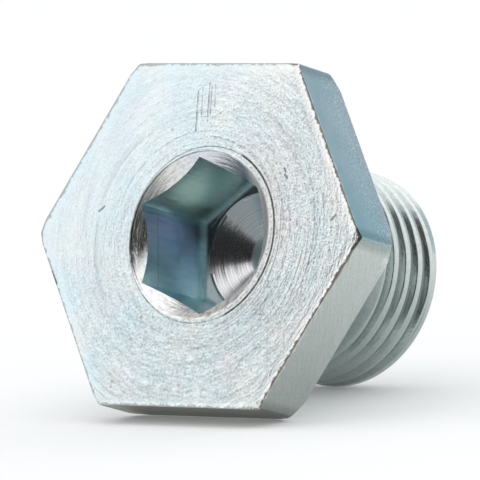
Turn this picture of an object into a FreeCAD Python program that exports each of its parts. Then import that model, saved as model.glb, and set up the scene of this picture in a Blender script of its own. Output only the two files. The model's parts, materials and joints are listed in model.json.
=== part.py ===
# Oil sump plug: a one-piece steel plug with a flat hexagon head, a hexagon socket
# in the head, a relief neck and a right-hand metric fine thread.
# Units are millimetres. The plug lies as it comes to rest on a floor at Z = 0: on
# the back edge of one head flat and on the crest of its last full thread turn.

import FreeCAD, Part
import math
import os

# Hexagon head, from bar stock turned on both faces
hex_across_flats = 25.0
head_thickness = 4.6
hex_edge_radius = 0.25
front_chamfer_circle = 27.7
front_chamfer_angle = 30.0
back_chamfer_circle = 27.5
back_chamfer_angle = 45.0

# Hexagon socket: countersunk, its walls rounded into the floor, with a drill point below
key_across_flats = 10.0
socket_depth = 7.7
socket_floor_round = 0.6
socket_turn = 22.0
countersink_circle = 12.2
countersink_angle = 90.0
# The countersink was cut a little off centre, toward +X
countersink_offset = 0.2
drill_diameter = 9.0
drill_point_angle = 135.0

# Shank: fillet under the head, relief neck, run-out cone, thread, end chamfer
shank_length = 15.0
neck_diameter = 14.0
neck_length = 6.6
neck_fillet = 0.4
runout_angle = 45.0
end_chamfer = 1.0
end_chamfer_angle = 45.0

# Metric fine thread, 60 degree flanks, right hand
thread_diameter = 16.0
thread_pitch = 1.5
thread_flank_angle = 30.0
thread_depth_per_pitch = 0.6134
thread_crest_per_pitch = 0.125
# How far short of the end the groove's centre runs out, straight below the axis
groove_end_offset = 0.26

# Sizes that follow from the ones above
corner_radius = hex_across_flats / 2 / math.cos(math.pi / 6)
total_length = head_thickness + shank_length
key_corner_radius = key_across_flats / 2 / math.cos(math.pi / 6)
drill_radius = drill_diameter / 2
drill_point_length = drill_radius / math.tan(math.radians(drill_point_angle / 2))
countersink_depth = countersink_circle / 2 / math.tan(math.radians(countersink_angle / 2))
thread_radius = thread_diameter / 2
thread_depth = thread_pitch * thread_depth_per_pitch
groove_top_width = thread_pitch * (1 - thread_crest_per_pitch)
neck_radius = neck_diameter / 2
runout_length = (thread_radius - neck_radius) / math.tan(math.radians(runout_angle))
chamfer_drop = end_chamfer * math.tan(math.radians(end_chamfer_angle))
axis = FreeCAD.Vector(0, 0, 1)
origin = FreeCAD.Vector(0, 0, 0)


def revolved(points):
    """A solid of revolution about Z from (radius, height) points."""
    wire = Part.makePolygon([FreeCAD.Vector(r, 0, z) for r, z in points + points[:1]])
    return Part.Face(wire).revolve(origin, axis, 360)


def hexagon_prism(radius, height, turn):
    """A hexagonal bar on Z from height 0 up, its first corner turned from +X."""
    corners = [math.radians(60 * k + turn) for k in range(7)]
    wire = Part.makePolygon(
        [FreeCAD.Vector(radius * math.cos(a), radius * math.sin(a), 0) for a in corners]
    )
    return Part.Face(wire).extrude(axis * height)


def make_head():
    """The hexagon with rounded vertical edges, turned conical on both faces."""
    bar = hexagon_prism(corner_radius, head_thickness, 0)
    upright = [e for e in bar.Edges if abs(e.tangentAt(e.FirstParameter).z) > 0.99]
    bar = bar.makeFillet(hex_edge_radius, upright)
    front, back = front_chamfer_circle / 2, back_chamfer_circle / 2
    outer = corner_radius + hex_edge_radius
    front_drop = (outer - front) * math.tan(math.radians(front_chamfer_angle))
    back_drop = (outer - back) * math.tan(math.radians(back_chamfer_angle))
    turned = revolved([
        (0, 0),
        (front, 0),
        (outer, front_drop),
        (outer, head_thickness - back_drop),
        (back, head_thickness),
        (0, head_thickness),
    ])
    return bar.common(turned)


def make_shank():
    """The turned blank of the shank: fillet, neck, run-out cone, thread land, chamfer."""
    V = FreeCAD.Vector
    z0 = head_thickness
    z1 = z0 + neck_length
    z2 = z1 + runout_length
    z3 = total_length - chamfer_drop
    foot = neck_radius + neck_fillet
    mid = neck_fillet * (1 - math.sqrt(0.5))
    fillet = Part.Arc(
        V(foot, 0, z0), V(neck_radius + mid, 0, z0 + mid), V(neck_radius, 0, z0 + neck_fillet)
    ).toShape()
    outline = [
        V(neck_radius, 0, z0 + neck_fillet),
        V(neck_radius, 0, z1),
        V(thread_radius, 0, z2),
        V(thread_radius, 0, z3),
        V(thread_radius - end_chamfer, 0, total_length),
        V(0, 0, total_length),
        V(0, 0, z0 / 2),
        V(foot, 0, z0 / 2),
        V(foot, 0, z0),
    ]
    edges = [fillet] + [Part.makeLine(a, b) for a, b in zip(outline, outline[1:])]
    return Part.Face(Part.Wire(edges)).revolve(origin, axis, 360)


def make_thread_groove():
    """The thread's groove as a solid: its section swept along the helix, up through the end."""
    slope = math.tan(math.radians(thread_flank_angle))
    # the section stands a little out of the crests, but not so far that its turns meet
    over = 0.5 * (thread_pitch - groove_top_width) / 2 / slope
    top = groove_top_width / 2 + over * slope
    root = groove_top_width / 2 - thread_depth * slope
    r_top, r_root = thread_radius + over, thread_radius - thread_depth
    # the sweep starts at +X, wholly in the neck, and is a quarter turn further on below the axis
    end_at_x = total_length - groove_end_offset - thread_pitch / 4
    start = head_thickness + neck_length - top
    turns = math.ceil((end_at_x - start) / thread_pitch)
    z_start = end_at_x - turns * thread_pitch
    # one edge for each turn: a sweep along a single long helix is too coarse to cut with
    edges = []
    for k in range(turns + 1):
        turn = Part.makeHelix(thread_pitch, thread_pitch, thread_radius)
        turn.translate(axis * (k * thread_pitch))
        edges += turn.Edges
    section = Part.makePolygon([
        FreeCAD.Vector(r_top, 0, -top),
        FreeCAD.Vector(r_root, 0, -root),
        FreeCAD.Vector(r_root, 0, root),
        FreeCAD.Vector(r_top, 0, top),
        FreeCAD.Vector(r_top, 0, -top),
    ])
    groove = Part.Wire(edges).makePipeShell([section], True, True)
    groove.translate(axis * z_start)
    return groove


def cut_thread(blank):
    """The blank with the groove cut, checked by the metal that the cut takes away."""
    slope = math.tan(math.radians(thread_flank_angle))
    section = thread_depth * (groove_top_width - thread_depth * slope)
    threaded = shank_length - neck_length - runout_length / 2 - chamfer_drop / 2
    length = 2 * math.pi * (thread_radius - thread_depth / 2) * threaded / thread_pitch
    cut = blank.cut(make_thread_groove())
    loss = (blank.Volume - cut.Volume) / (section * length)
    print("thread groove: takes", round(loss, 3), "of its section times its length")
    return cut


def make_socket():
    """What the drill, the countersink and the hexagon punch take out of the head."""
    key = hexagon_prism(key_corner_radius, socket_depth, socket_turn)
    floor_rim = [e for e in key.Edges if min(v.Z for v in e.Vertexes) > socket_depth / 2]
    key = key.makeFillet(socket_floor_round, floor_rim)
    drill = revolved([
        (0, 0),
        (drill_radius, 0),
        (drill_radius, socket_depth),
        (0, socket_depth + drill_point_length),
    ])
    sink = revolved([(0, 0), (countersink_circle / 2, 0), (0, countersink_depth)])
    sink.translate(FreeCAD.Vector(countersink_offset, 0, 0))
    return key.fuse([drill, sink])


def make_plug():
    """The plug on Z, the head's front face at height 0."""
    blank = make_head().fuse(cut_thread(make_shank()))
    return blank.cut(make_socket()).removeSplitter()


def rest_tilt():
    """The angle in degrees by which the axis drops toward the thread's end at rest."""
    last_crest = total_length - groove_end_offset - groove_top_width / 2
    contact = min(last_crest, total_length - chamfer_drop)
    rise = hex_across_flats / 2 - thread_radius
    return math.degrees(math.atan2(rise, contact - head_thickness))


def laid_down(plug):
    """The plug at rest: its face to -Y, one head flat's back edge down, centred over the origin."""
    tilt = rest_tilt()
    plug = plug.copy()
    plug.rotate(origin, FreeCAD.Vector(1, 0, 0), -(90 + tilt))
    s, c = math.sin(math.radians(tilt)), math.cos(math.radians(tilt))
    half = hex_across_flats / 2
    floor = -half * c - head_thickness * s
    front = -half * s
    rims = [(thread_radius, total_length - chamfer_drop), (thread_radius - end_chamfer, total_length)]
    back = max(r * s + z * c for r, z in rims)
    plug.translate(FreeCAD.Vector(0, -(front + back) / 2, -floor))
    return plug


os.makedirs("parts", exist_ok=True)
sump_plug = laid_down(make_plug())
sump_plug.exportStep("parts/sump_plug.step")
box = sump_plug.BoundBox
print("sump_plug: valid", sump_plug.isValid(), "solids", len(sump_plug.Solids))
print("volume mm3", round(sump_plug.Volume, 1), "tilt deg", round(rest_tilt(), 3))
print("box mm", [round(v, 3) for v in (box.XMin, box.YMin, box.ZMin, box.XMax, box.YMax, box.ZMax)])
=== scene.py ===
# %% [markdown]
# # Oil sump plug
#
# A sump plug closes the drain hole of an engine. This one is a single piece of steel: a flat
# hexagon head with a countersunk hexagon socket, a plain relief neck and a short fine thread,
# plated with bright zinc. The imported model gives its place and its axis. Here its surfaces
# get what a lathe, a punch, a thread roller and a plating bath leave on them.

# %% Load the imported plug
import json
import math
import bpy
from mathutils import Matrix, Vector


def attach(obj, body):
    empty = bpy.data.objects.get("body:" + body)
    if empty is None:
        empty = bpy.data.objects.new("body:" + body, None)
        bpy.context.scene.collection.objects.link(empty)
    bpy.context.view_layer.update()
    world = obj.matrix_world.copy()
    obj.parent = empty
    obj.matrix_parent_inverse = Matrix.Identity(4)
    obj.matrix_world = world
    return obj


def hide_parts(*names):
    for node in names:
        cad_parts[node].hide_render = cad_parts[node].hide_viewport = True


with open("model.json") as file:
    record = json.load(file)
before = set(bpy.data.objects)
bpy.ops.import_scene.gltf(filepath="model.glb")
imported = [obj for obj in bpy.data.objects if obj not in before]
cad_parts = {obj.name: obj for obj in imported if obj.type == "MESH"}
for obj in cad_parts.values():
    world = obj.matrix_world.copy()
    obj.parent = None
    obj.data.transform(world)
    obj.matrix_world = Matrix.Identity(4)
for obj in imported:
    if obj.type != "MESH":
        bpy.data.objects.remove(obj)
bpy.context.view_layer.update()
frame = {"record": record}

# %% [markdown]
# ## The sizes
#
# The plug is drawn upright, in millimetres, as a maker would draw it: its axis is Z, the front
# face of the head is at height 0 and the thread points up. The sizes are those of the packed
# model. At the end one placing turns the finished plug down onto the floor.

# %% Sizes of the plug, in millimetres
hex_across_flats = 25.0
head_thickness = 4.6
hex_edge_radius = 0.25
front_chamfer_circle = 27.7
front_chamfer_angle = 30.0
back_chamfer_circle = 27.5
back_chamfer_angle = 45.0

key_across_flats = 10.0
key_depth = 7.7
key_floor_round = 0.6
key_turn = 22.0
countersink_circle = 12.2
countersink_offset = 0.2
drill_diameter = 9.0
drill_point_angle = 135.0

shank_length = 15.0
neck_diameter = 14.0
neck_length = 6.6
neck_fillet = 0.4
end_chamfer = 1.0

thread_diameter = 16.0
thread_pitch = 1.5
groove_end_offset = 0.26

corner_radius = hex_across_flats / 2 / math.cos(math.pi / 6)
total_length = head_thickness + shank_length
neck_radius = neck_diameter / 2
thread_radius = thread_diameter / 2
drill_radius = drill_diameter / 2
sink_radius = countersink_circle / 2
edge_ease = 0.07
# how far a cutter stands past the face that it goes through
past = 1.0
round_steps = 144
# points nearer to each other than this are one, and what is this near to a plane lies on it
merge_distance = 0.001
on_plane = 0.01
mm_per_metre = 1000
print("across corners", round(2 * corner_radius, 2), "mm, total length", total_length, "mm")

# %% [markdown]
# ## Working by hand, in code
#
# Every operator acts on what is selected, so each step first deselects everything. These small
# helpers do what a modeller's hands do between operators: pick a piece, pick its vertices,
# edges or faces by where they are, and apply a modifier.

# %% Pick a piece, pick its elements, apply a modifier
def deselect_all():
    if bpy.context.mode != "OBJECT":
        bpy.ops.object.mode_set(mode="OBJECT")
    bpy.ops.object.select_all(action="DESELECT")


def take(piece):
    """Makes the piece the only one selected, and the active one."""
    deselect_all()
    piece.select_set(True)
    bpy.context.view_layer.objects.active = piece


def pick(piece, kind, test):
    """Enters edit mode with the vertices, edges or faces selected that pass the test."""
    take(piece)
    bpy.ops.object.mode_set(mode="EDIT")
    bpy.ops.mesh.select_all(action="DESELECT")
    bpy.ops.mesh.select_mode(type=kind)
    bpy.ops.object.mode_set(mode="OBJECT")
    elements = {"VERT": piece.data.vertices, "EDGE": piece.data.edges, "FACE": piece.data.polygons}[kind]
    count = 0
    for element in elements:
        element.select = test(element)
        count += element.select
    bpy.ops.object.mode_set(mode="EDIT")
    return count


def modify(piece, kind, **settings):
    """Adds one modifier and applies it."""
    take(piece)
    modifier = piece.modifiers.new(kind.lower(), kind)
    for name, value in settings.items():
        setattr(modifier, name, value)
    bpy.ops.object.modifier_apply(modifier=modifier.name)


def cut_with(piece, operation, tool):
    """Joins, cuts or trims the piece with another closed solid, which is then used up."""
    modify(piece, "BOOLEAN", operation=operation, solver="EXACT", object=tool)
    bpy.data.objects.remove(tool)
    print(piece.name, operation.lower(), "->", len(piece.data.polygons), "faces")


# %% [markdown]
# ## Turned shapes
#
# A lathe makes solids of revolution, and so does the spin operator. A point is pulled out step
# by step into the outline of the section, and the outline is spun once round the axis. Where
# it starts and ends on the axis the skin closes by itself, once the doubled points are merged.

# %% Draw an outline and spin it
def drawn(name, outline):
    """A chain of edges through (radius, height) points, pulled out point by point."""
    deselect_all()
    bpy.ops.mesh.primitive_plane_add(size=1)
    piece = bpy.context.object
    piece.name = name
    bpy.ops.object.mode_set(mode="EDIT")
    bpy.ops.mesh.select_mode(type="VERT")
    bpy.ops.mesh.select_all(action="SELECT")
    bpy.ops.mesh.merge(type="CENTER")
    r, z = outline[0]
    bpy.ops.transform.translate(value=(r, 0, z))
    for r_next, z_next in outline[1:]:
        step = (r_next - r, 0, z_next - z)
        bpy.ops.mesh.extrude_region_move(TRANSFORM_OT_translate={"value": step})
        r, z = r_next, z_next
    return piece


def turned(name, outline):
    """A solid of revolution about Z."""
    piece = drawn(name, outline)
    bpy.ops.mesh.select_all(action="SELECT")
    bpy.ops.mesh.spin(steps=round_steps, angle=2 * math.pi, center=(0, 0, 0), axis=(0, 0, 1))
    bpy.ops.mesh.select_all(action="SELECT")
    bpy.ops.mesh.remove_doubles(threshold=merge_distance)
    bpy.ops.mesh.normals_make_consistent(inside=False)
    bpy.ops.object.mode_set(mode="OBJECT")
    return piece


def arc(centre, radius, start, end, count):
    """Points on an arc in the section, from one angle in degrees to another."""
    angles = [math.radians(start + (end - start) * k / count) for k in range(count + 1)]
    return [(centre[0] + radius * math.cos(a), centre[1] + radius * math.sin(a)) for a in angles]


# %% [markdown]
# ## The head
#
# The head starts as hexagon bar, so its six flats are drawn surfaces with slightly rounded
# edges between them. The lathe then faces both ends and breaks the corners with a cone, and
# handling has worn the back corners round. A six-sided cylinder stands for the bar, and its
# intersection with a turned disc leaves the curved chamfers where a cone meets a flat, as on
# the real head.

# %% Hexagon bar
deselect_all()
bpy.ops.mesh.primitive_cylinder_add(
    vertices=6,
    radius=corner_radius,
    depth=head_thickness,
    location=(0, 0, head_thickness / 2),
    rotation=(0, 0, math.pi / 6),
)
plug = bpy.context.object
plug.name = "plug_finished"
bpy.ops.object.transform_apply(location=True, rotation=True, scale=True)


def is_upright(edge):
    a, b = [plug.data.vertices[i].co for i in edge.vertices]
    return abs(a.z - b.z) > head_thickness / 2


upright = pick(plug, "EDGE", is_upright)
bevel_width = hex_edge_radius * math.tan(math.pi / 6)
bpy.ops.mesh.bevel(offset=bevel_width, segments=4, affect="EDGES")
eased = pick(plug, "EDGE", lambda edge: not is_upright(edge))
bpy.ops.mesh.bevel(offset=edge_ease, segments=3, affect="EDGES")
bpy.ops.object.mode_set(mode="OBJECT")
print("rounded", upright, "edges of the bar and eased", eased)

# %% Face both ends and break the corners
front = front_chamfer_circle / 2
back = back_chamfer_circle / 2
outer = corner_radius + past
front_drop = (outer - front) * math.tan(math.radians(front_chamfer_angle))
# the chamfer's two edges at the back corners are worn round
corner = corner_radius + hex_edge_radius * (1 - 1 / math.cos(math.pi / 6))
back_drop = (corner - back) * math.tan(math.radians(back_chamfer_angle))
worn_round = 0.5
shift = back_drop + (math.sqrt(2) - 1) * worn_round
rounding = [
    *arc((corner - worn_round, head_thickness - shift), worn_round, 8, 45, 4),
    *arc((corner - shift, head_thickness - worn_round), worn_round, 45, 80, 4),
]
# the disc stands a little past both faces of the bar, so that no two planes are the same
clear = 0.02
lead_out = 0.1
turning = turned("turning", [
    (0, -clear),
    (front - clear / math.tan(math.radians(front_chamfer_angle)), -clear),
    (outer, front_drop),
    (outer, rounding[0][1]),
    *rounding,
    (corner - shift - lead_out, head_thickness + clear),
    (0, head_thickness + clear),
])
cut_with(plug, "INTERSECT", turning)

# %% [markdown]
# ## The neck
#
# Behind the head the lathe leaves a plain neck, with a small fillet at its foot so that the
# plug doesn't crack there. The neck is turned a little into the head and a little into the
# thread's run-out, so that the pieces cross each other cleanly when they are joined.

# %% Turn the neck and join it to the head
foot = neck_radius + neck_fillet
fillet = arc((foot, head_thickness + neck_fillet), neck_fillet, 270, 180, 5)
neck_end = head_thickness + neck_length
overlap = 0.15
neck = turned("neck", [
    (0, head_thickness / 2),
    (foot, head_thickness / 2),
    *fillet,
    (neck_radius, neck_end + overlap),
    (0, neck_end + overlap),
])
cut_with(plug, "UNION", neck)

# %% [markdown]
# ## The socket
#
# The head is drilled and countersunk, and a hexagon punch sizes the socket, with its walls
# rounded into the floor. Each cutter is modelled as its own solid and taken away from the
# plug, so the marks that a cutter leaves are modelled on the cutter: the drill's lips leave
# rings on the cone. The countersink's chatter is in its finish.

# %% The hexagon punch, the drill and the countersink
deselect_all()
key_corner_radius = key_across_flats / 2 / math.cos(math.pi / 6)
bpy.ops.mesh.primitive_cylinder_add(
    vertices=6,
    radius=key_corner_radius,
    depth=key_depth + past,
    location=(0, 0, (key_depth - past) / 2),
    rotation=(0, 0, math.pi / 6 + math.radians(key_turn)),
)
punch = bpy.context.object
punch.name = "punch"
bpy.ops.object.transform_apply(location=True, rotation=True, scale=True)


def is_floor_rim(edge):
    return all(punch.data.vertices[i].co.z > key_depth - on_plane for i in edge.vertices)


pick(punch, "EDGE", is_floor_rim)
bpy.ops.mesh.bevel(offset=key_floor_round, segments=6, affect="EDGES")
bpy.ops.object.mode_set(mode="OBJECT")

# where one ring ends and the next begins, how much deeper each ends than it begins, and the
# share of its width that the step to the next one takes
ring_edges = (drill_radius, 4.2, 3.8, 3.44, 2.8, 2.3, 1.5, 0.9)
ring_height = 0.016
step_share = 0.15
slope = math.tan(math.radians(drill_point_angle / 2))
point_length = drill_radius / slope
rings = []
for outer_edge, inner_edge in zip(ring_edges, ring_edges[1:]):
    inner_end = inner_edge + step_share * (outer_edge - inner_edge)
    rings.append((outer_edge, key_depth + (drill_radius - outer_edge) / slope))
    rings.append((inner_end, key_depth + (drill_radius - inner_end) / slope + ring_height))
drill = turned("drill", [
    (0, -past),
    (drill_radius, -past),
    *rings,
    (0, key_depth + point_length),
])
rim_round = 0.25
rim_radius = sink_radius + rim_round * math.tan(math.radians(22.5))
rim = arc((rim_radius, rim_round), rim_round, 268, 225, 4)
sink = turned("sink", [(0, -past), (rim[0][0], -past), *rim, (0, sink_radius)])
take(sink)
bpy.ops.transform.translate(value=(countersink_offset, 0, 0))
for cutter in (punch, drill, sink):
    cut_with(plug, "DIFFERENCE", cutter)

# %% [markdown]
# ## The ring beside the countersink
#
# The countersink's pilot ran a little off centre and left a fine ring just outside the mouth,
# which is clear on the right and merges with the mouth on the left. A thin turned ring with a
# sharp lower edge scores it into the face, as the tool did.

# %% Score the ring
ring_radius = 6.42
ring_offset = 0.42
ring_width = 0.16
ring_depth = 0.07
half = ring_width / 2
scorer = turned("scorer", [
    (ring_radius - half, -ring_depth),
    (ring_radius + half, -ring_depth),
    (ring_radius, ring_depth),
    (ring_radius - half, -ring_depth),
])
take(scorer)
bpy.ops.transform.translate(value=(ring_offset, 0, 0))
cut_with(plug, "DIFFERENCE", scorer)

# %% [markdown]
# ## The thread
#
# The thread is rolled, so its crests are broad and round and its roots are rounded. One pitch
# of its section is drawn from crest to crest, its four corners are rounded with a vertex bevel,
# and the Screw modifier repeats it up the helix: the grid then follows the crests exactly. Two
# cuts close the bar, and a turned blank trims it to the run-out cone. The last turn isn't fully
# rolled in the photograph, so a plain collar with the end's chamfer stands at the end.

# %% The thread's section
crest_width = 0.5
crest_round = 0.32
thread_depth = 0.74
root_round = 0.10
flank_angle = 30.0
flank_run = thread_depth * math.tan(math.radians(flank_angle))
root_radius = thread_radius - thread_depth
# the groove's centre at +X, a quarter turn before it is straight below the axis
groove_at_x = total_length - groove_end_offset - thread_pitch / 4
turns_below = math.ceil((groove_at_x - head_thickness) / thread_pitch) + 1
first_crest = groove_at_x - thread_pitch / 2 - turns_below * thread_pitch
turns = turns_below + 2

section = [
    (thread_radius, 0),
    (thread_radius, crest_width / 2),
    (root_radius, crest_width / 2 + flank_run),
    (root_radius, thread_pitch - crest_width / 2 - flank_run),
    (thread_radius, thread_pitch - crest_width / 2),
    (thread_radius, thread_pitch),
]
thread = drawn("thread", [(r, first_crest + z) for r, z in section])


def rounds_of(radius):
    """A test for the section's two corners at this radius."""
    low, high = first_crest + on_plane, first_crest + thread_pitch - on_plane
    return lambda v: abs(v.co.x - radius) < merge_distance and low < v.co.z < high


# half of what the section turns by at each corner
half_turn = math.radians((90 - flank_angle) / 2)
for radius, size in ((thread_radius, crest_round), (root_radius, root_round)):
    found = pick(thread, "VERT", rounds_of(radius))
    bpy.ops.mesh.bevel(offset=size * math.tan(half_turn), segments=4, affect="VERTICES")
    bpy.ops.object.mode_set(mode="OBJECT")
    print("rounded", found, "corners of the thread's section")

# %% Roll the thread up the helix
sawn_from = head_thickness + 0.2
sawn_to = total_length + 0.5
modify(
    thread,
    "SCREW",
    axis="Z",
    angle=2 * math.pi,
    screw_offset=thread_pitch,
    iterations=turns,
    steps=round_steps,
    render_steps=round_steps,
)
pick(thread, "VERT", lambda v: True)
bpy.ops.mesh.remove_doubles(threshold=merge_distance)
for height, keep_above in ((sawn_from, True), (sawn_to, False)):
    bpy.ops.mesh.select_all(action="SELECT")
    bpy.ops.mesh.bisect(
        plane_co=(0, 0, height),
        plane_no=(0, 0, 1),
        use_fill=True,
        clear_inner=keep_above,
        clear_outer=not keep_above,
    )
bpy.ops.mesh.select_all(action="SELECT")
bpy.ops.mesh.normals_make_consistent(inside=False)
bpy.ops.object.mode_set(mode="OBJECT")

# %% Trim the thread, close its end and join it to the neck
skin = thread_radius + overlap
inside = neck_radius - 0.2
cone_start = neck_end - (neck_radius - inside)
land_end = total_length - end_chamfer
collar_width = 0.45
collar_start = land_end - collar_width
thread_end = collar_start + 0.1
blank = turned("blank", [
    (0, cone_start),
    (inside, cone_start),
    (skin, neck_end + skin - neck_radius),
    (skin, thread_end),
    (0, thread_end),
])
cut_with(thread, "INTERSECT", blank)
collar = turned("collar", [
    (0, collar_start - flank_run),
    (root_radius, collar_start - flank_run),
    (thread_radius, collar_start),
    (thread_radius, land_end),
    (thread_radius - end_chamfer, total_length),
    (0, total_length),
])
cut_with(thread, "UNION", collar)
cut_with(plug, "UNION", thread)

# a sharper edge than this stays sharp
sharp_angle = 32.0
take(plug)
bpy.ops.object.shade_smooth_by_angle(angle=math.radians(sharp_angle))
modify(plug, "WEIGHTED_NORMAL", keep_sharp=True, weight=80)

# %% [markdown]
# ## Which tool made which surface
#
# Zinc plate copies the surface under it, so each surface keeps the marks of the tool that made
# it. While the plug still stands upright, every face is sorted by where it is and which way it
# looks: faced front, drawn flats, turned back, countersink, punched walls, drilled cone and
# rolled shank. Each sort gets a material slot of its own.

# %% Names of the surfaces
surface_names = [
    "faced_front",
    "drawn_flats",
    "turned_back",
    "countersink",
    "punched_walls",
    "drilled_cone",
    "rolled_shank",
]

# %% What tells the surfaces apart
# the part of a normal along the axis: of a level face, of the socket's floor, and the least
# of a chamfer and of what a cutter left in the socket
level = 0.9
floor_level = 0.96
chamfer_level = 0.4
socket_level = 0.3
# how far the middle of a face may be from the countersink's cone, the drill's and the floor
sink_band = 0.15
cone_band = 0.05
floor_band = 0.005
sink_end = sink_radius - key_across_flats / 2 + 0.3
socket_end = key_depth + point_length + 0.1
seat_radius = neck_radius + 0.05


def made_by(face):
    """The surface that a face of the upright plug belongs to."""
    centre, way = face.center, face.normal
    radius = math.hypot(centre.x, centre.y)
    from_sink = math.hypot(centre.x - countersink_offset, centre.y)
    inward = centre.x * way.x + centre.y * way.y < 0
    if abs(centre.z - head_thickness) < on_plane and way.z > level:
        return "turned_back"
    is_front = centre.z < merge_distance and way.z < -level
    is_scored = from_sink > rim_radius + on_plane and centre.z < ring_depth
    if is_front or is_scored:
        return "faced_front"
    in_mouth = radius < rim_radius + countersink_offset and centre.z < socket_end
    if in_mouth and (inward or way.z < -socket_level):
        if abs(from_sink + centre.z - sink_radius) < sink_band and centre.z < sink_end:
            return "countersink"
        on_cone = key_depth + (drill_radius - radius) / slope
        is_floor = centre.z < key_depth + floor_band and way.z < -floor_level
        is_cone = radius < drill_radius and centre.z > on_cone - cone_band
        return "drilled_cone" if is_cone and not is_floor else "punched_walls"
    if radius > seat_radius and centre.z < head_thickness + on_plane:
        if way.z < -chamfer_level:
            return "faced_front"
        return "turned_back" if way.z > chamfer_level else "drawn_flats"
    return "turned_back" if centre.z > total_length - on_plane else "rolled_shank"


# %% Sort the faces by tool
plug.data.materials.clear()
for name in surface_names:
    plug.data.materials.append(bpy.data.materials.new(name))
counts = dict.fromkeys(surface_names, 0)
for face in plug.data.polygons:
    surface = made_by(face)
    face.material_index = surface_names.index(surface)
    counts[surface] += 1
print("faces of each surface:", counts)

# %% [markdown]
# ## Lay the plug down
#
# Put down on a bench, the plug comes to rest on the back edge of one flat and on its last full
# crest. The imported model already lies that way, and the record's socket mount gives the middle
# of the front face and the way that the socket faces.

# %% From the drawing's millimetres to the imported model's place
mounts = {mount["name"]: mount for mount in frame["record"]["mounts"]}
face_centre = Vector(mounts["key_socket"]["pos_m"])
shank_way = -Vector(mounts["key_socket"]["axis"])
side_way = Vector((1, 0, 0))
below_way = shank_way.cross(side_way)
turn = Matrix((side_way, below_way, shank_way)).transposed()
plug.matrix_world = Matrix.Translation(face_centre) @ turn.to_4x4() @ Matrix.Scale(1 / mm_per_metre, 4)
take(plug)
bpy.ops.object.transform_apply(location=True, rotation=True, scale=True)
print("the axis drops by", round(math.degrees(math.asin(-shank_way.z)), 2), "degrees")

# %% [markdown]
# ## Zinc plate, in general
#
# Bright zinc is a pale metal with a thin clear film of passivation, which gives faint blue,
# lilac and straw tints. Every finish below is a metallic shader whose colour comes from a slow
# noise between such tints, and whose relief comes from a height that feeds a Bump node. The
# patterns use the plug's own axes in millimetres: a Mapping node undoes the lying down. On the
# upright plug X points to the right of the photograph, Y down and Z into the shank.

# %% Nodes, values and colours
def new_node(tree, kind, inputs=None, **settings):
    """Adds a shader node. Sockets in the inputs are linked, and plain values are set."""
    node = tree.nodes.new("ShaderNode" + kind)
    for name, value in settings.items():
        setattr(node, name, value)
    for name, value in (inputs or {}).items():
        if isinstance(value, bpy.types.NodeSocket):
            tree.links.new(value, node.inputs[name])
        else:
            node.inputs[name].default_value = value
    return node


def maths(tree, operation, a, b=0.0, clamp=False):
    return new_node(tree, "Math", {0: a, 1: b}, operation=operation, use_clamp=clamp).outputs[0]


def vector_maths(tree, operation, a, b, output=0):
    return new_node(tree, "VectorMath", {0: a, 1: b}, operation=operation).outputs[output]


def dot(tree, place, way):
    return vector_maths(tree, "DOT_PRODUCT", place, way, "Value")


def ramp(tree, value, low, high, to_low=0.0, to_high=1.0):
    """A value stretched from one range to another, and held at its ends."""
    names = {"Value": value, "From Min": low, "From Max": high, "To Min": to_low, "To Max": to_high}
    return new_node(tree, "MapRange", names).outputs["Result"]


def blend_colours(tree, factor, a, b, kind="MIX"):
    a, b = [(*c, 1) if isinstance(c, tuple) and len(c) == 3 else c for c in (a, b)]
    node = new_node(tree, "Mix", {0: factor, 6: a, 7: b}, data_type="RGBA", blend_type=kind)
    return node.outputs[2]


def shaded(tree, colour, amount):
    """The colour times an amount that changes over the surface."""
    grey = new_node(tree, "CombineXYZ", {0: amount, 1: amount, 2: amount}).outputs[0]
    return blend_colours(tree, 1.0, colour, grey, "MULTIPLY")


def noise(tree, place, scale, detail=2.0, roughness=0.5, distortion=0.0):
    names = {"Vector": place, "Scale": scale, "Detail": detail, "Roughness": roughness}
    node = new_node(tree, "TexNoise", {**names, "Distortion": distortion})
    return node.outputs["Fac"]


# %% The plug's own axes
def plug_axes(tree):
    """Where a point is on the upright plug, in millimetres."""
    back_turn = turn.transposed()
    mapping = new_node(tree, "Mapping", {
        "Vector": new_node(tree, "TexCoord").outputs["Object"],
        "Location": -(back_turn @ face_centre) * mm_per_metre,
        "Rotation": back_turn.to_euler("XYZ"),
        "Scale": (mm_per_metre, mm_per_metre, mm_per_metre),
    })
    return mapping.outputs["Vector"]


def without_depth(tree, place):
    return vector_maths(tree, "MULTIPLY", place, (1, 1, 0))


def from_axis(tree, place):
    """The distance of a point from the axis."""
    return vector_maths(tree, "LENGTH", without_depth(tree, place), (0, 0, 0), "Value")


def round_axes(tree, place):
    """The distance from the axis, and the direction away from it as a unit vector."""
    way = vector_maths(tree, "NORMALIZE", without_depth(tree, place), (0, 0, 0))
    return from_axis(tree, place), way


def along_arcs(tree, place, fine, length):
    """A place for noise that is fine across the turning marks and long along them."""
    radius, way = round_axes(tree, place)
    split = new_node(tree, "SeparateXYZ", {0: way})
    return new_node(tree, "CombineXYZ", {
        0: maths(tree, "MULTIPLY", radius, fine),
        1: maths(tree, "MULTIPLY", split.outputs[0], length),
        2: maths(tree, "MULTIPLY", split.outputs[1], length),
    }).outputs[0]


def ring_noise(tree, place, scale):
    """Noise that changes only with the distance from the axis."""
    names = {"W": maths(tree, "MULTIPLY", from_axis(tree, place), scale), "Detail": 2.0}
    return new_node(tree, "TexNoise", names, noise_dimensions="1D").outputs["Fac"]


# %% What every finish has
def start_finish(name, roughness):
    """The material, its node tree, its shader and the plug's own axes."""
    material = bpy.data.materials[name]
    material.use_nodes = True
    tree = material.node_tree
    shader = tree.nodes["Principled BSDF"]
    shader.inputs["Metallic"].default_value = 1.0
    shader.inputs["Roughness"].default_value = roughness
    return tree, shader, plug_axes(tree)


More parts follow.
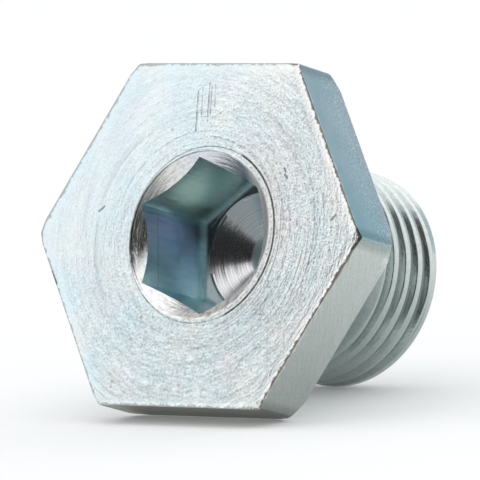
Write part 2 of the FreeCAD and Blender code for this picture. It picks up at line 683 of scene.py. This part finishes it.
def set_relief(tree, shader, height, depth):
    """Relief from a height of 0 to 1 and its depth in millimetres."""
    names = {"Height": height, "Distance": depth / mm_per_metre, "Strength": 1.0}
    tree.links.new(new_node(tree, "Bump", names).outputs["Normal"], shader.inputs["Normal"])


def set_colour(tree, shader, colour):
    tree.links.new(colour, shader.inputs["Base Color"])


def set_roughness(tree, shader, mask, smooth, rough):
    """Smooth where the mask is 0, and rough where it is 1."""
    tree.links.new(ramp(tree, mask, 0.0, 1.0, smooth, rough), shader.inputs["Roughness"])


def set_less_metallic(tree, shader, mask):
    """Metal where the mask is 0, and like chalk where it is 1."""
    tree.links.new(maths(tree, "SUBTRACT", 1.0, mask), shader.inputs["Metallic"])


def laid_over(tree, colour, mask, share, tint):
    """The colour, with a share of a tint laid over it where the mask is 1."""
    return blend_colours(tree, maths(tree, "MULTIPLY", mask, share), colour, tint)


def tints(tree, place, scale, a, b):
    """A slow change between two tints of the plate."""
    cloud = ramp(tree, noise(tree, place, scale, 2.0), 0.38, 0.62)
    return blend_colours(tree, cloud, a, b)


# %% [markdown]
# ## Scratches, arcs and spots
#
# A few marks are at places of their own on the photographed plug. A scratch is where a point is
# near a line between two points, an arc is where it is near a radius and within an angle, and a
# spot is where it is near a point. The fine dark ones are broken up by noise, as real marks are.

# %% Marks
def scratch(tree, place, start, end, width):
    """1 on a straight scratch between two points (right, up) of the face, and 0 off it."""
    a, b = Vector((start[0], -start[1], 0)), Vector((end[0], -end[1], 0))
    way = b - a
    from_start = vector_maths(tree, "SUBTRACT", without_depth(tree, place), a)
    share = maths(tree, "MULTIPLY", dot(tree, from_start, way), 1 / way.length_squared, clamp=True)
    nearest = new_node(tree, "VectorMath", {0: way, "Scale": share}, operation="SCALE").outputs[0]
    away = vector_maths(tree, "DISTANCE", from_start, nearest, "Value")
    return ramp(tree, away, width * 0.3, width, 1.0, 0.0)


def spot(tree, place, middle, size):
    """1 on a spot of the face and 0 off it."""
    middle = (middle[0], -middle[1], 0)
    away = vector_maths(tree, "DISTANCE", without_depth(tree, place), middle, "Value")
    return ramp(tree, away, size * 0.3, size, 1.0, 0.0)


def arc_mark(tree, place, radius, width, angle, half_angle, centre=0.0):
    """1 on an arc round the axis, at an angle in degrees from the right toward the top."""
    moved = vector_maths(tree, "SUBTRACT", place, (centre, 0, 0))
    distance, way = round_axes(tree, moved)
    middle = (math.cos(math.radians(angle)), -math.sin(math.radians(angle)), 0)
    off = maths(tree, "ABSOLUTE", maths(tree, "SUBTRACT", distance, radius))
    ring = ramp(tree, off, width * 0.3, width, 1.0, 0.0)
    inside = math.cos(math.radians(half_angle))
    ends = ramp(tree, dot(tree, way, middle), inside, inside + 0.06)
    return maths(tree, "MULTIPLY", ring, ends)


def largest(tree, values):
    result = values[0]
    for value in values[1:]:
        result = maths(tree, "MAXIMUM", result, value)
    return result


def added(tree, *parts):
    """The sum of values, each with its share."""
    result = 0.0
    for value, share in parts:
        names = {0: value, 1: share, 2: result}
        result = new_node(tree, "Math", names, operation="MULTIPLY_ADD").outputs[0]
    return result


# %% Places on the head
# how far from the axis the mask of a flat begins, and where it is full
flat_from = 12.25
flat_to = 12.42


def flat_distance(tree, place):
    """How far a point is from the axis toward the nearest flat of the head."""
    ways = [(math.cos(math.radians(a)), math.sin(math.radians(a)), 0) for a in (30, 90, 150)]
    return largest(tree, [maths(tree, "ABSOLUTE", dot(tree, place, way)) for way in ways])


def toward(tree, place, angle, low, high):
    """0 to 1 with the distance from the axis at an angle from the right toward the top."""
    way = (math.cos(math.radians(angle)), -math.sin(math.radians(angle)), 0)
    return ramp(tree, dot(tree, place, way), low, high)


def on_flat(tree, place, angle):
    """1 on the head's flat that looks this way, and 0 off it."""
    return toward(tree, place, angle, flat_from, flat_to)


# %% [markdown]
# ## The faced front
#
# A facing tool leaves fine rings, and the rough bar and years of handling leave a grain of
# short streaks along them. The photograph shows a smooth upper left and a coarse lower right,
# a few rings round the countersink, some scratches and a rough brown line along the right edges.

# %% Faced front: tints and grain
tree, shader, place = start_finish("faced_front", 0.34)
colour = tints(tree, place, 0.22, (0.745, 0.85, 0.88), (0.835, 0.87, 0.865))
lilac = ramp(tree, noise(tree, place, 0.35, 2.0), 0.50, 0.68)
colour = laid_over(tree, colour, lilac, 0.5, (0.80, 0.80, 0.86))
streaks = noise(tree, along_arcs(tree, place, 5.0, 16.0), 1.0, 3.0, 0.6)
rings = noise(tree, along_arcs(tree, place, 3.0, 2.5), 1.0, 3.0, 0.6)
grain = noise(tree, place, 5.5, 2.0, 0.6)
border = flat_distance(tree, place)
coarse = ramp(tree, dot(tree, place, (0.85, 0.53, 0)), -10, 5, 0.30, 1.0)
coarse = maths(tree, "MULTIPLY", coarse, ramp(tree, border, 11.6, 12.2, 1.0, 0.5))
height = added(tree, (streaks, 0.37), (grain, 0.40), (rings, 0.23))

# %% Faced front: marks
long_rings = noise(tree, along_arcs(tree, place, 2.6, 0.6), 1.0, 3.0, 0.6)
broken = ramp(tree, noise(tree, place, 2.2, 3.0, 0.6), 0.40, 0.60)
long_marks = largest(tree, [
    scratch(tree, place, (-1.32, 10.45), (-1.14, 7.50), 0.08),
    scratch(tree, place, (-0.96, 10.7), (-0.80, 8.6), 0.05),
    scratch(tree, place, (-0.36, 11.0), (-0.20, 8.1), 0.08),
    scratch(tree, place, (-0.16, 10.8), (-0.02, 8.7), 0.05),
    scratch(tree, place, (0.16, 10.9), (0.28, 9.3), 0.04),
])
fine_marks = largest(tree, [
    arc_mark(tree, place, 8.3, 0.08, -38, 50),
    arc_mark(tree, place, 7.1, 0.10, 10, 80),
    arc_mark(tree, place, 7.7, 0.07, -30, 80),
    arc_mark(tree, place, 9.6, 0.07, -35, 45),
    arc_mark(tree, place, 10.4, 0.08, -15, 55),
])
soft_marks = largest(tree, [
    arc_mark(tree, place, 9.05, 0.14, 148, 22),
    arc_mark(tree, place, 9.2, 0.35, 150, 22),
    arc_mark(tree, place, 10.3, 0.25, 172, 18),
    arc_mark(tree, place, 9.0, 0.30, 195, 25),
])
bright_marks = largest(tree, [
    arc_mark(tree, place, 6.30, 0.09, 0, 62, ring_offset),
    arc_mark(tree, place, 6.60, 0.10, 0, 70, ring_offset),
    arc_mark(tree, place, 7.35, 0.09, -8, 75),
    arc_mark(tree, place, 8.7, 0.08, -50, 40),
    arc_mark(tree, place, 9.9, 0.08, -40, 35),
])
dents = largest(tree, [
    scratch(tree, place, (11.75, 1.2), (12.1, 1.55), 0.11),
    scratch(tree, place, (-9.05, 1.6), (-8.6, 1.95), 0.08),
    scratch(tree, place, (-12.70, -2.94), (-12.20, -3.74), 0.13),
    scratch(tree, place, (7.12, 4.85), (7.26, 4.62), 0.10),
    scratch(tree, place, (7.26, 4.38), (7.44, 4.18), 0.12),
    spot(tree, place, (6.5, -5.7), 0.14),
])
rust = largest(tree, [
    spot(tree, place, (-6.02, -10.79), 0.24),
    spot(tree, place, (-0.05, -10.93), 0.18),
    spot(tree, place, (-4.09, -6.09), 0.22),
    spot(tree, place, (-3.31, 7.63), 0.2),
    spot(tree, place, (10.2, -1.95), 0.2),
    spot(tree, place, (10.7, -2.4), 0.14),
])
fine_marks = maths(tree, "MULTIPLY", fine_marks, broken)
worn_thin = ramp(tree, noise(tree, place, 1.2, 2.0), 0.35, 0.60, 0.25, 0.8)
fine_marks = maths(tree, "MAXIMUM", fine_marks, maths(tree, "MULTIPLY", long_marks, worn_thin))

# %% Faced front: edges and relief
grain_relief = maths(tree, "MULTIPLY", height, coarse)
ring_relief = maths(tree, "MULTIPLY", long_rings, coarse)
sunk = [(fine_marks, -0.16), (dents, -0.35), (soft_marks, -0.05)]
relief = added(tree, (grain_relief, 1.0), (ring_relief, 0.45), *sunk, (bright_marks, 0.12))
shade = ramp(tree, height, 0.38, 0.62, 0.62, 1.29)
shade = added(tree, (maths(tree, "SUBTRACT", shade, 1.0), coarse), (1.0, 1.0))
colour = shaded(tree, colour, shade)
across, down = new_node(tree, "SeparateXYZ", {0: place}).outputs[:2]
# painted shade: the face is darker and bluer toward the left
painted_shade_left = blend_colours(tree, ramp(tree, across, 5.0, -8.0), (1, 1, 1), (0.90, 0.935, 0.955))
colour = blend_colours(tree, 1.0, colour, painted_shade_left, "MULTIPLY")
# painted light: the face is lighter toward its right corner
painted_light_right = added(tree, (across, 1.0), (maths(tree, "ABSOLUTE", down), -0.7))
colour = shaded(tree, colour, ramp(tree, painted_light_right, 3.0, 7.5, 1.0, 1.14))
# painted highlight: a pale band on the face beside its right edges
right_side = largest(tree, [toward(tree, place, angle, 11.6, 12.0) for angle in (30, -30)])
bright = maths(tree, "MULTIPLY", right_side, ramp(tree, border, 11.75, 12.05))
colour = laid_over(tree, colour, bright, 0.55, (0.97, 0.96, 0.95))
colour = laid_over(tree, colour, soft_marks, 0.36, (0.50, 0.58, 0.62))
colour = laid_over(tree, colour, fine_marks, 0.38, (0.36, 0.39, 0.40))
colour = laid_over(tree, colour, dents, 0.8, (0.17, 0.18, 0.18))
colour = laid_over(tree, colour, rust, 0.6, (0.44, 0.36, 0.29))
colour = laid_over(tree, colour, bright_marks, 0.75, (0.97, 0.97, 0.96))
scored = arc_mark(tree, place, 6.44, 0.13, 0, 66, ring_offset)
scored = maths(tree, "MULTIPLY", scored, ramp(tree, grain, 0.35, 0.55, 0.45, 0.95))
colour = blend_colours(tree, scored, colour, (0.12, 0.10, 0.09))
ragged = noise(tree, place, 1.6, 5.0, 0.75)
top_left = largest(tree, [toward(tree, place, 150, 11.6, 12.0), toward(tree, place, 120, 13.2, 13.6)])
edge = added(tree, (ragged, 0.9), (top_left, 0.08), (border, 1.0))
line = ramp(tree, edge, 12.77, 12.85)
line = maths(tree, "MULTIPLY", line, added(tree, (right_side, 0.4), (1.0, 0.55)))
colour = blend_colours(tree, line, colour, (0.22, 0.19, 0.16))
set_colour(tree, shader, colour)
set_relief(tree, shader, relief, 0.23)

# %% [markdown]
# ## The drawn flats
#
# The flats of the bar were drawn through a die. They are smooth, with fine scratches that lean
# along the bar and a light speckle of plating. The upper right flat is painted steel blue as a
# reflection, with lilac toward its back edge. The flat that looks down is painted darkest as
# painted shade, and all flats are painted darker toward the floor. A painted highlight runs as a
# whitish line along the front edge and lies on the back of the right corner, and the rounded
# corner edges are painted darker as shade.

# %% Drawn flats
tree, shader, place = start_finish("drawn_flats", 0.34)
depth = new_node(tree, "SeparateXYZ", {0: place}).outputs[2]
along = dot(tree, place, (-0.5, 0.866, 0))
leaning = new_node(tree, "CombineXYZ", {
    0: added(tree, (depth, 5.0), (along, -3.3)),
    1: maths(tree, "MULTIPLY", along, 0.5),
}).outputs[0]
lines = noise(tree, leaning, 1.0, 3.0, 0.6)
speckle = noise(tree, place, 7.0, 2.0, 0.6)
cloud = noise(tree, place, 0.5, 3.0)
colour = blend_colours(tree, ramp(tree, cloud, 0.35, 0.65), (0.60, 0.64, 0.63), (0.66, 0.685, 0.67))
colour = blend_colours(tree, on_flat(tree, place, -30), colour, (0.62, 0.67, 0.65))
# painted shade: the flat that looks down is darkest
colour = blend_colours(tree, on_flat(tree, place, -90), colour, (0.37, 0.385, 0.34))
colour = shaded(tree, colour, ramp(tree, lines, 0.35, 0.65, 0.92, 1.04))
colour = shaded(tree, colour, ramp(tree, speckle, 0.38, 0.62, 0.93, 1.06))
# painted shade: all flats get darker toward the floor
colour = shaded(tree, colour, ramp(tree, dot(tree, place, (0, 1, 0)), 1.0, 10.0, 0.90, 0.72))
# painted reflection: the upper right flat is steel blue, with lilac toward its back edge
painted_blue_reflection = blend_colours(tree, ramp(tree, cloud, 0.38, 0.62), (0.42, 0.56, 0.60), (0.49, 0.60, 0.65))
painted_blue_reflection = blend_colours(tree, ramp(tree, dot(tree, place, (0, 1, 0)), -6.0, -1.5), painted_blue_reflection, (0.37, 0.55, 0.60))
lilac = maths(tree, "MULTIPLY", ramp(tree, depth, 3.7, 4.5), 0.7)
painted_blue_reflection = blend_colours(tree, lilac, painted_blue_reflection, (0.56, 0.54, 0.61))
sparkle = ramp(tree, speckle, 0.50, 0.62, 0.0, 0.75)
sparkle = maths(tree, "MULTIPLY", sparkle, ramp(tree, depth, 0.8, 3.0))
painted_blue_reflection = blend_colours(tree, sparkle, painted_blue_reflection, (0.80, 0.86, 0.90))
colour = blend_colours(tree, on_flat(tree, place, 30), colour, painted_blue_reflection)
chips = noise(tree, place, 1.8, 4.0, 0.7)
# painted highlight: a whitish line along the front edge
edge_highlight = ramp(tree, added(tree, (depth, 1.0), (chips, 0.8)), 0.48, 0.56, 1.0, 0.0)
colour = laid_over(tree, colour, edge_highlight, 0.8, (0.93, 0.94, 0.93))
thinner = ramp(tree, along, -4.5, -1.0, 0.0, 0.16)
burr = ramp(tree, added(tree, (depth, 1.0), (chips, 0.5), (thinner, 1.0)), 0.42, 0.50, 1.0, 0.0)
burr = maths(tree, "MULTIPLY", burr, toward(tree, place, -30, 12.3, 12.45))
colour = laid_over(tree, colour, burr, 0.85, (0.15, 0.12, 0.10))
# painted highlight at the back of the right corner
corner_highlight = maths(tree, "MULTIPLY", toward(tree, place, 0, 13.2, 14.0), ramp(tree, depth, 3.6, 4.2))
corner_highlight = maths(tree, "MULTIPLY", corner_highlight, ramp(tree, speckle, 0.45, 0.55, 0.0, 0.65))
colour = blend_colours(tree, corner_highlight, colour, (0.88, 0.90, 0.90))
# painted shade: the six rounded corner edges are darker
colour = shaded(tree, colour, ramp(tree, from_axis(tree, place), 13.95, 14.2, 1.0, 0.72))
set_colour(tree, shader, colour)
set_relief(tree, shader, added(tree, (lines, 0.5), (speckle, 0.3)), 0.03)

# %% [markdown]
# ## The turned back
#
# The back of the head is the seat of the sealing ring. The lathe leaves even fine rings there.

# %% Turned back
tree, shader, place = start_finish("turned_back", 0.35)
rings = noise(tree, along_arcs(tree, place, 4.0, 1.5), 1.0, 3.0)
set_colour(tree, shader, tints(tree, place, 0.3, (0.62, 0.67, 0.67), (0.72, 0.74, 0.71)))
set_relief(tree, shader, rings, 0.05)

# %% [markdown]
# ## The countersink
#
# The countersink chattered, so its cone has long uneven rings. Soot sits in them on the left.
# Toward the top the cone is darker and browner, partly for a stain and partly as painted shade,
# and the lower left is clean and bright. Its right side is rubbed dull by the key, and its lower
# right has coarse pale rings.

# %% Countersink
tree, shader, place = start_finish("countersink", 0.22)
chatter = noise(tree, along_arcs(tree, place, 6.0, 2.2), 1.0, 3.0, 0.6)
fleck = noise(tree, along_arcs(tree, place, 5.0, 14.0), 1.0, 3.0, 0.7)
stretch = noise(tree, along_arcs(tree, place, 4.0, 3.0), 1.0, 3.0, 0.6)
colour = tints(tree, place, 0.5, (0.90, 0.92, 0.94), (0.94, 0.94, 0.93))
soot = maths(tree, "MULTIPLY", toward(tree, place, 168, 4.3, 5.0), ramp(tree, fleck, 0.34, 0.48))
soot = maths(tree, "MULTIPLY", soot, ramp(tree, stretch, 0.66, 0.52))
colour = laid_over(tree, colour, soot, 0.9, (0.08, 0.07, 0.065))
# partly a stain and partly painted shade: toward the top the countersink is darker and browner, lilac at
# the very top
upper_stain_and_shade = toward(tree, place, 130, 2.4, 4.4)
upper_stain_and_shade = maths(tree, "MULTIPLY", upper_stain_and_shade, ramp(tree, stretch, 0.64, 0.42, 0.75, 1.0))
stain_and_shade_colour = blend_colours(tree, toward(tree, place, 65, 3.0, 5.0), (0.75, 0.745, 0.715), (0.69, 0.73, 0.81))
colour = laid_over(tree, colour, upper_stain_and_shade, 0.75, stain_and_shade_colour)
colour = shaded(tree, colour, ramp(tree, fleck, 0.36, 0.54, 0.84, 1.04))
colour = blend_colours(tree, toward(tree, place, 0, 4.0, 5.5), colour, (0.56, 0.54, 0.54))
rough_rings = toward(tree, place, -58, 3.8, 5.2)
ring_colour = blend_colours(tree, ramp(tree, fleck, 0.40, 0.54), (0.55, 0.50, 0.46), (1.0, 1.0, 0.98))
colour = laid_over(tree, colour, rough_rings, 0.9, ring_colour)
set_colour(tree, shader, colour)
rubbed = maths(tree, "MAXIMUM", toward(tree, place, 5, 3.5, 5.0), rough_rings)
set_roughness(tree, shader, rubbed, 0.22, 0.55)
set_relief(tree, shader, added(tree, (chatter, 0.7), (fleck, 0.25)), 0.035)

# %% [markdown]
# ## The punched walls
#
# The punch leaves smooth walls with faint drag marks along the axis. The passivation stays
# thicker in the socket, so the walls are grey green at the top and blue on the left, with a
# violet middle and a cyan lower end. The grey green wall is painted darker near the mouth as
# shade, the floor's ledge is painted dark at the top as shade and pale at the bottom as a
# highlight, and a painted highlight lies on the ridge between the upper left and left walls.
# The rounding into the floor is dull, because the punch doesn't polish it.

# %% Punched walls
tree, shader, place = start_finish("punched_walls", 0.28)
stretched = vector_maths(tree, "MULTIPLY", place, (2.0, 2.0, 0.3))
lines = noise(tree, stretched, 2.0, 4.0, 0.6)
blotch = noise(tree, place, 0.45, 2.0, 0.5)
across, down, depth = new_node(tree, "SeparateXYZ", {0: place}).outputs
colour = blend_colours(tree, ramp(tree, blotch, 0.35, 0.65), (0.42, 0.57, 0.70), (0.52, 0.56, 0.69))
colour = blend_colours(tree, ramp(tree, down, 0.0, 2.8), colour, (0.68, 0.97, 1.0))
green = blend_colours(tree, ramp(tree, blotch, 0.32, 0.62), (0.38, 0.45, 0.43), (0.52, 0.54, 0.48))
# painted shade: the grey green wall is darker near the mouth and lighter deeper in
green = shaded(tree, green, ramp(tree, depth, 3.2, 5.6, 0.88, 1.18))
colour = blend_colours(tree, toward(tree, place, 128, 4.80, 4.92), colour, green)
band = blend_colours(tree, toward(tree, place, 128, 3.4, 4.0), (0.70, 0.96, 1.0), (0.50, 0.61, 0.60))
colour = blend_colours(tree, ramp(tree, depth, 6.8, 7.2), colour, band)
# painted shade and painted highlight: the floor's ledge is dark at the top and pale at the bottom
floor_shade_and_highlight = blend_colours(tree, ramp(tree, down, 0.0, 2.0), (0.19, 0.21, 0.22), (0.95, 0.96, 0.98))
colour = blend_colours(tree, ramp(tree, depth, 7.60, 7.68), colour, floor_shade_and_highlight)
colour = shaded(tree, colour, ramp(tree, lines, 0.30, 0.65, 0.92, 1.05))
wandering = added(tree, (depth, 1.0), (blotch, 0.4), (1.0, -2.3))
dragged = ramp(tree, maths(tree, "ABSOLUTE", wandering), 0.02, 0.07, 0.45, 0.0)
dragged = maths(tree, "MULTIPLY", dragged, toward(tree, place, 188, 4.8, 4.95))
colour = blend_colours(tree, dragged, colour, (0.12, 0.16, 0.20))
bright = largest(tree, [
    scratch(tree, place, (-4.6, 1.9), (-3.4, 3.2), 0.10),
    scratch(tree, place, (-4.2, 2.5), (-3.0, 3.6), 0.06),
])
colour = laid_over(tree, colour, bright, 0.35, (0.92, 0.96, 0.96))
# painted highlight on the ridge between the upper left and left walls
ridge_highlight = spot(tree, place, (-5.35, 2.16), 0.45)
ridge_highlight = maths(tree, "MULTIPLY", ridge_highlight, ramp(tree, blotch, 0.35, 0.6, 0.35, 0.9))
colour = blend_colours(tree, ridge_highlight, colour, (0.66, 0.86, 0.88))
set_colour(tree, shader, colour)
chalky = maths(tree, "MULTIPLY", spot(tree, place, (-4.1, -3.2), 2.4), ramp(tree, depth, 7.60, 7.68))
set_less_metallic(tree, shader, chalky)
set_roughness(tree, shader, ramp(tree, depth, 6.7, 7.15), 0.28, 0.55)
set_relief(tree, shader, lines, 0.02)

# %% [markdown]
# ## The drilled cone
#
# The drill's lips leave polished rings on the cone, each a little different in tint. The middle,
# where the lips cut badly, is grey and dull.

# %% Drilled cone
tree, shader, place = start_finish("drilled_cone", 0.17)
rings = noise(tree, along_arcs(tree, place, 3.0, 0.3), 1.0, 2.0)
bands = ramp(tree, ring_noise(tree, place, 1.6), 0.35, 0.65)
colour = blend_colours(tree, bands, (0.95, 0.93, 0.98), (0.96, 1.0, 1.0))
cuts = ring_noise(tree, place, 4.0)
colour = shaded(tree, colour, ramp(tree, cuts, 0.38, 0.56, 0.80, 1.04))
middle = ramp(tree, from_axis(tree, place), 1.7, 1.4)
colour = blend_colours(tree, middle, colour, (0.50, 0.60, 0.62))
set_colour(tree, shader, colour)
set_roughness(tree, shader, middle, 0.17, 0.5)
set_relief(tree, shader, rings, 0.008)

# %% [markdown]
# ## The rolled shank
#
# Rolled thread is smooth. Its crests are polished by handling. The grooves are darker, partly for
# a darker film and partly as painted shade, and the underside is painted dark teal as shade. The
# neck and the run-out were only turned, so they are duller, and their thicker film shines less like
# metal.

# %% Rolled shank
tree, shader, place = start_finish("rolled_shank", 0.20)
speckle = noise(tree, place, 3.5, 3.0, 0.6)
radius = from_axis(tree, place)
colour = tints(tree, place, 0.25, (0.76, 0.84, 0.83), (0.84, 0.87, 0.84))
# painted shade: the underside is darker teal
colour = blend_colours(tree, toward(tree, place, -75, -3.0, 5.0), colour, (0.40, 0.46, 0.445))
# partly a darker film and partly painted shade in the grooves
groove_film_and_shade = ramp(tree, radius, 7.45, 7.90, 1.0, 0.0)
colour = laid_over(tree, colour, groove_film_and_shade, 0.7, (0.34, 0.41, 0.41))
colour = shaded(tree, colour, ramp(tree, speckle, 0.35, 0.62, 0.92, 1.04))
set_colour(tree, shader, colour)
depth = new_node(tree, "SeparateXYZ", {0: place}).outputs[2]
only_turned = maths(tree, "MAXIMUM", ramp(tree, radius, 7.4, 7.1), ramp(tree, depth, 12.5, 12.1))
set_roughness(tree, shader, only_turned, 0.20, 0.65)
set_less_metallic(tree, shader, maths(tree, "MULTIPLY", only_turned, 0.6))
set_relief(tree, shader, speckle, 0.010)

# %% [markdown]
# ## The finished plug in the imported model
#
# The finished piece rides on the plug's one body and stands for its one node.

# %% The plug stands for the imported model's node
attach(plug, "root")
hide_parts("sump_plug")

# %% [markdown]
# ## The camera
#
# The photograph was taken from the right and a little above, from far away with a long lens, so
# the head's opposite edges stay nearly parallel. The camera's place and turn were solved from
# the head's corners, the socket's mouth and the thread's end.

# %% Camera
def way_to(azimuth, elevation):
    """The direction from the plug to something: azimuth 0 is the front, and 90 the right."""
    a, e = math.radians(azimuth), math.radians(elevation)
    return Vector((math.sin(a) * math.cos(e), -math.cos(a) * math.cos(e), math.sin(e)))


camera_aim = Vector((0.0025, -0.0067, 0.0127))
camera_distance = 0.572
camera_azimuth = 37.11
camera_elevation = 6.59
camera_roll = -4.03
away = way_to(camera_azimuth, camera_elevation)
lens = bpy.data.cameras.new("camera")
lens.lens = 600
lens.sensor_width = 36
camera = bpy.data.objects.new("camera", lens)
bpy.context.scene.collection.objects.link(camera)
upright_turn = (-away).to_track_quat("-Z", "Y").to_matrix().to_4x4()
roll = Matrix.Rotation(math.radians(camera_roll), 4, "Z")
camera.matrix_world = Matrix.Translation(camera_aim + away * camera_distance) @ upright_turn @ roll
bpy.context.scene.camera = camera

# %% [markdown]
# ## Floor and light
#
# The plug stands on white paper in a white tent. Metal shows its surroundings, so these are part
# of its look. The tent gives an even light, a soft lamp stands in front on the left and one
# above. The paper and the tent are white to the camera, and to metal and glass too. Five cards,
# which only reflections see, stand for what is darker around the tent: the camera's own side,
# with what stands above it and on its left, the table in front of the paper, and a grey wall
# behind the plug on the right.

# %% Floor
def seen_straight(tree):
    """1 for what the camera, metal or glass shows of a thing, and 0 for the light it gives."""
    rays = new_node(tree, "LightPath").outputs
    shown = maths(tree, "MAXIMUM", rays["Is Glossy Ray"], rays["Is Transmission Ray"])
    return maths(tree, "MAXIMUM", rays["Is Camera Ray"], shown)


# the paper's colour, and the white of its own that it shows: in full light both make 1
paper_grey = 0.92
paper_own_white = 0.12
paper_size = 2

deselect_all()
bpy.ops.mesh.primitive_plane_add(size=paper_size)
floor = bpy.context.object
floor.name = "floor"
paper = bpy.data.materials.new("paper")
paper.use_nodes = True
tree = paper.node_tree
shader = tree.nodes["Principled BSDF"]
shader.inputs["Base Color"].default_value = (paper_grey, paper_grey, paper_grey, 1)
shader.inputs["Roughness"].default_value = 0.9
shader.inputs["Specular IOR Level"].default_value = 0.0
own_white = maths(tree, "MULTIPLY", seen_straight(tree), paper_own_white)
tree.links.new(own_white, shader.inputs["Emission Strength"])
# what the paper shows of its own lights nothing
paper.cycles.emission_sampling = "NONE"
floor.data.materials.append(paper)


# %% Cards that only reflections see
plug_middle = Vector((0, 0, 0.012))


def face_plug(thing, way, distance):
    thing.location = plug_middle + way * distance
    thing.rotation_euler = way.to_track_quat("Z", "Y").to_euler()


def card(name, azimuth, elevation, distance, size, colour):
    """A glowing card that faces the plug, seen only in its reflections."""
    deselect_all()
    bpy.ops.mesh.primitive_plane_add(size=1)
    made = bpy.context.object
    made.name = name
    made.scale = (size[0], size[1], 1)
    face_plug(made, way_to(azimuth, elevation), distance)
    glow = bpy.data.materials.new(name)
    glow.use_nodes = True
    nodes = glow.node_tree
    nodes.nodes.remove(nodes.nodes["Principled BSDF"])
    lit = new_node(nodes, "Emission", {"Color": (*colour, 1), "Strength": 1.0})
    nodes.links.new(lit.outputs[0], nodes.nodes["Material Output"].inputs["Surface"])
    made.data.materials.append(glow)
    made.visible_camera = False
    made.visible_diffuse = False
    made.visible_shadow = False
    return made


card("grey_card", 169, 19, 0.5, (0.27, 0.26), (0.43, 0.54, 0.60))
card("camera_side_card", 33, 16, 0.45, (0.49, 0.40), (0.02, 0.021, 0.022))
card("high_dark_card", 22, 48, 0.45, (0.16, 0.18), (0.02, 0.021, 0.022))
card("left_dark_card", -5, 12, 0.45, (0.16, 0.34), (0.03, 0.03, 0.03))
table_card = card("table_card", 0, 90, 0.1, (0.50, 0.34), (0.26, 0.29, 0.30))
table_card.location = (0.06, -0.20, 0.0004)


# %% Lamps and the tent
def lamp(name, azimuth, elevation, distance, size, watts):
    light = bpy.data.lights.new(name, "AREA")
    light.shape = "SQUARE"
    light.size = size
    light.energy = watts
    made = bpy.data.objects.new(name, light)
    bpy.context.scene.collection.objects.link(made)
    face_plug(made, way_to(azimuth, elevation), distance)
    return made


lamp("key_lamp", -46, 24, 0.8, 0.6, 0.28)
lamp("top_lamp", -150, 80, 0.8, 0.7, 0.20)

world = bpy.data.worlds.new("tent")
bpy.context.scene.world = world
world.use_nodes = True
tree = world.node_tree
tent = blend_colours(tree, seen_straight(tree), (0.92, 0.94, 0.95), (1, 1, 1))
tree.links.new(tent, tree.nodes["Background"].inputs["Color"])
bpy.context.scene.view_settings.view_transform = "Standard"
